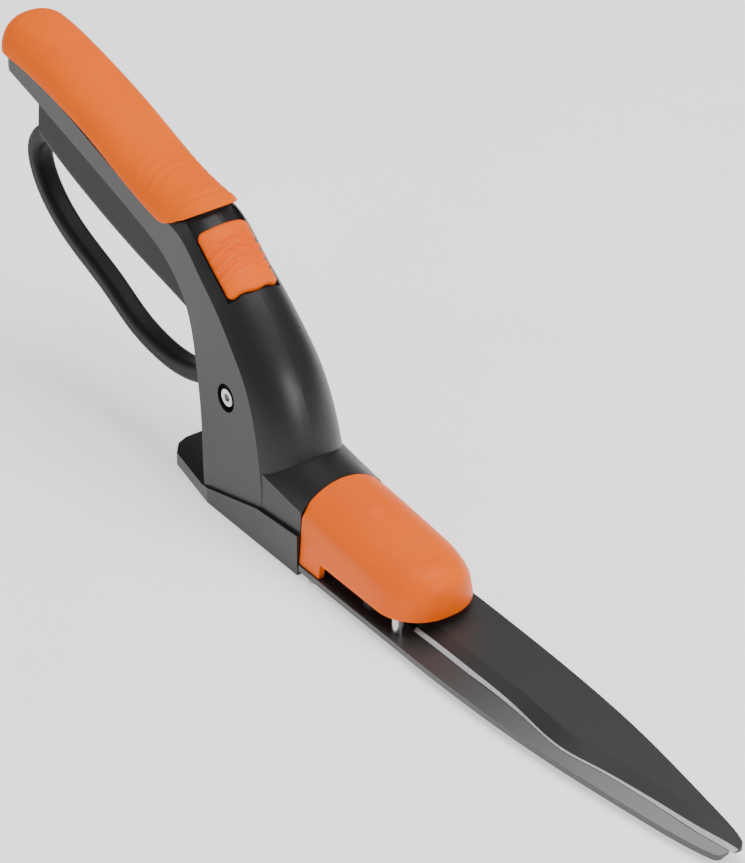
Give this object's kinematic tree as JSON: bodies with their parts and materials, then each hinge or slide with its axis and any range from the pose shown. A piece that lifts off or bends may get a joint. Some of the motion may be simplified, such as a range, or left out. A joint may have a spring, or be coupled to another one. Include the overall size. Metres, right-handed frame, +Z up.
{
  "type": "grass shears",
  "caption": "Hand grass shears: handle above long blades, squeeze lever that swings the upper blade over the fixed lower one, sliding lock button.",
  "frame": {"origin": "middle of the flat sole on the mid-plane, straight below the squeeze lever's pivot", "axes": "+X to the blade tips, +Y to the user's left when cutting, +Z up from the sole to the handle"},
  "size_m": [0.3718, 0.034, 0.1189],
  "materials": {
    "housing_plastic": "fine moulded texture, dark grey",
    "lever_plastic": "fine moulded texture, near black",
    "orange_soft_grip": "soft-touch orange elastomer",
    "orange_plastic": "satin moulded orange",
    "sole_plastic": "plain black",
    "blade_steel": "ground and lightly coated",
    "coated_blade_steel": "dark non-stick coating with bright ground edge",
    "spring_steel": "drawn wire and strip",
    "plated_steel": "zinc plated",
    "bright_steel": "turned and polished",
    "bush_brass": "turned",
    "washer_nylon": "natural nylon"
  },
  "bodies": {
    "root": {"housing_left": "housing_plastic", "housing_right": "housing_plastic", "grip_cover": "orange_soft_grip", "sole_plate": "sole_plastic", "housing_screws": "plated_steel", "sole_screws": "plated_steel", "heel_screws": "plated_steel", "lower_blade": "blade_steel", "carrier_plate": "plated_steel", "guide_pins": "bright_steel", "blade_pivot_bolt": "bright_steel", "friction_washer": "washer_nylon", "wave_washer": "spring_steel", "pivot_lock_nut": "plated_steel", "stop_pin": "bright_steel", "blade_cover": "orange_plastic", "cover_screws": "plated_steel", "lever_bush": "bush_brass", "lever_pivot_screw": "bright_steel", "lever_pivot_nut": "plated_steel", "return_spring": "spring_steel"},
    "lever": {"squeeze_lever": "lever_plastic", "link_pin": "bright_steel"},
    "slider": {"drive_slider": "plated_steel"},
    "blade": {"upper_blade": "coated_blade_steel", "drive_stud": "bright_steel"},
    "lock": {"lock_button": "orange_plastic", "lock_latch": "sole_plastic", "lock_spring_clip": "spring_steel"}
  },
  "joints": [
    {"name": "squeeze_lever", "type": "hinge", "parent": "root", "child": "lever", "pos_m": [0, 0, 0.0425], "axis": [0, -1, 0], "range_deg": [0, 17], "stiffness_Nm_per_rad": 0.9, "springref_deg": 40.11},
    {"name": "drive_slider", "type": "slide", "parent": "root", "child": "slider", "axis": [1, 0, 0], "range_m": [0, 0.0059]},
    {"name": "upper_blade", "type": "hinge", "parent": "root", "child": "blade", "pos_m": [0.074, 0.0035, 0.00565], "axis": [0, 0, 1], "range_deg": [0, 26.05]},
    {"name": "lock_button", "type": "slide", "parent": "root", "child": "lock", "axis": [-0.7826, 0, 0.6225], "range_m": [0, 0.005]}
  ],
  "couplings": [
    {"joint": "drive_slider", "follows": "squeeze_lever", "m_per_rad": 0.019708},
    {"joint": "upper_blade", "follows": "squeeze_lever", "ratio": 1.5294}
  ]
}
